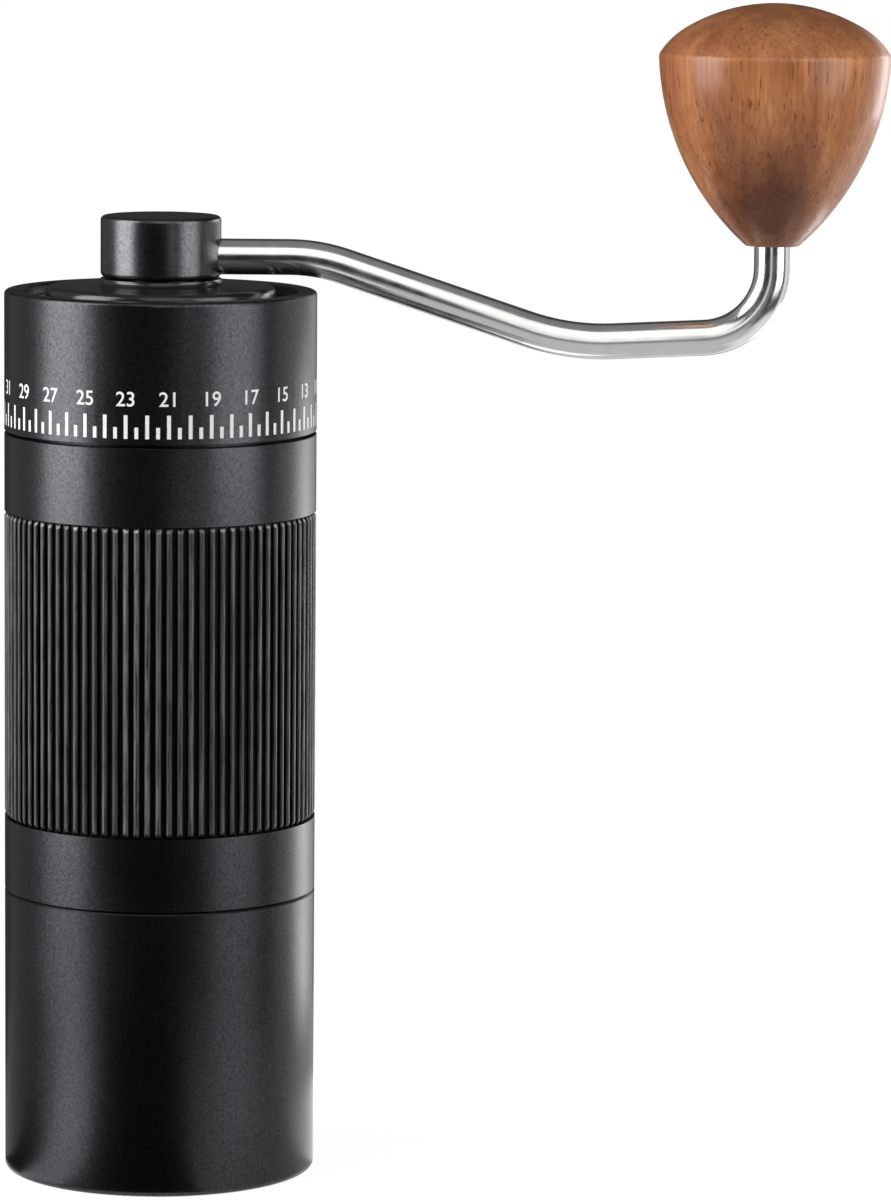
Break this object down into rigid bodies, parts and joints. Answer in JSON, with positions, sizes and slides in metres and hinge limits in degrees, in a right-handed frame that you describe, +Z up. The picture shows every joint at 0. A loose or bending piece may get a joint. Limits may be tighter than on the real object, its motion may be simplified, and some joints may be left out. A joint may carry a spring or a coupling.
{
  "type": "hand crank coffee grinder",
  "caption": "Slim round hand coffee grinder with a ribbed grip, an outside numbered grind dial, a bent crank arm with a wooden knob, conical burrs and a pull-off catch cup.",
  "frame": {"origin": "on the barrel's axis, at the flat base of the catch cup", "axes": "+Z up along the barrel and the main shaft, +X along the crank arm at rest, -Y towards the viewer"},
  "size_m": [0.1551, 0.055, 0.2077],
  "materials": {
    "black_anodised": "black anodised, bead blasted satin",
    "bare_aluminium": "machined, clear anodised",
    "ribbed_rubber": "matt moulded ribs",
    "seal_rubber": "smooth moulded",
    "burr_steel": "machined and hardened",
    "plain_steel": "turned, bright",
    "spring_steel": "oil blackened",
    "bearing_steel": "ground and polished",
    "satin_steel": "bent rod, fine satin polish",
    "varnished_wood": "turned hardwood under clear semi-gloss varnish",
    "bushing_brass": "turned",
    "gloss_black": "moulded, polished",
    "mark_white": "paint filled engraving"
  },
  "bodies": {
    "housing": {"barrel": "black_anodised", "grip_sleeve": "ribbed_rubber", "cup_seal": "seal_rubber", "outer_burr": "burr_steel", "lower_bearing_spider": "bare_aluminium", "spider_screws": "plain_steel", "lower_bearing_outer_race": "bearing_steel", "dial_snap_ring": "spring_steel", "detent_ball": "bearing_steel", "detent_spring": "spring_steel"},
    "dial": {"dial_ring": "black_anodised", "dial_marks": "mark_white"},
    "carriage": {"bearing_carriage": "bare_aluminium", "upper_bearing_outer_race": "bearing_steel"},
    "drive": {"main_shaft": "plain_steel", "upper_bearing_inner_race": "bearing_steel", "upper_bearing_balls": "bearing_steel", "shaft_circlip": "spring_steel", "inner_burr": "burr_steel", "burr_washer": "plain_steel", "burr_nut": "plain_steel", "burr_spring": "spring_steel"},
    "lower_race": {"lower_bearing_inner_race": "bearing_steel", "lower_bearing_balls": "bearing_steel"},
    "handle": {"crank_hub": "black_anodised", "crank_arm": "satin_steel", "lid_circlip": "spring_steel", "knob_washer": "plain_steel", "knob_circlip": "spring_steel"},
    "lid": {"hopper_lid": "gloss_black", "lid_gasket": "seal_rubber"},
    "knob": {"knob": "varnished_wood", "knob_bushing": "bushing_brass"},
    "cup": {"catch_cup": "black_anodised"}
  },
  "joints": [
    {"name": "dial_turn", "type": "hinge", "parent": "housing", "child": "dial", "pos_m": [0, 0, 0.144], "axis": [0, 0, 1], "range_deg": [-164.35, 555.65]},
    {"name": "burr_lift", "type": "slide", "parent": "housing", "child": "carriage", "axis": [0, 0, 1], "range_m": [-0.00231, 0.00068], "deforming": ["burr_spring"]},
    {"name": "crank_turn", "type": "hinge", "parent": "carriage", "child": "drive", "pos_m": [0, 0, 0.1499], "axis": [0, 0, 1], "continuous": true},
    {"name": "handle_lift", "type": "slide", "parent": "drive", "child": "handle", "axis": [0, 0, 1], "range_m": [0, 0.045]},
    {"name": "lid_turn", "type": "hinge", "parent": "handle", "child": "lid", "pos_m": [0, 0, 0.1572], "axis": [0, 0, 1], "continuous": true},
    {"name": "knob_spin", "type": "hinge", "parent": "handle", "child": "knob", "pos_m": [0.1073, 0, 0.18], "axis": [0, 0, 1], "continuous": true},
    {"name": "lower_race_turn", "type": "hinge", "parent": "housing", "child": "lower_race", "pos_m": [0, 0, 0.0888], "axis": [0, 0, 1], "continuous": true},
    {"name": "cup_pull", "type": "slide", "parent": "housing", "child": "cup", "axis": [0, 0, -1], "range_m": [0, 0.06]}
  ],
  "couplings": [
    {"joint": "dial_turn", "follows": "burr_lift", "rad_per_m": -4188.8},
    {"joint": "lid_turn", "follows": "crank_turn", "ratio": -1},
    {"joint": "lower_race_turn", "follows": "crank_turn", "ratio": 1}
  ]
}
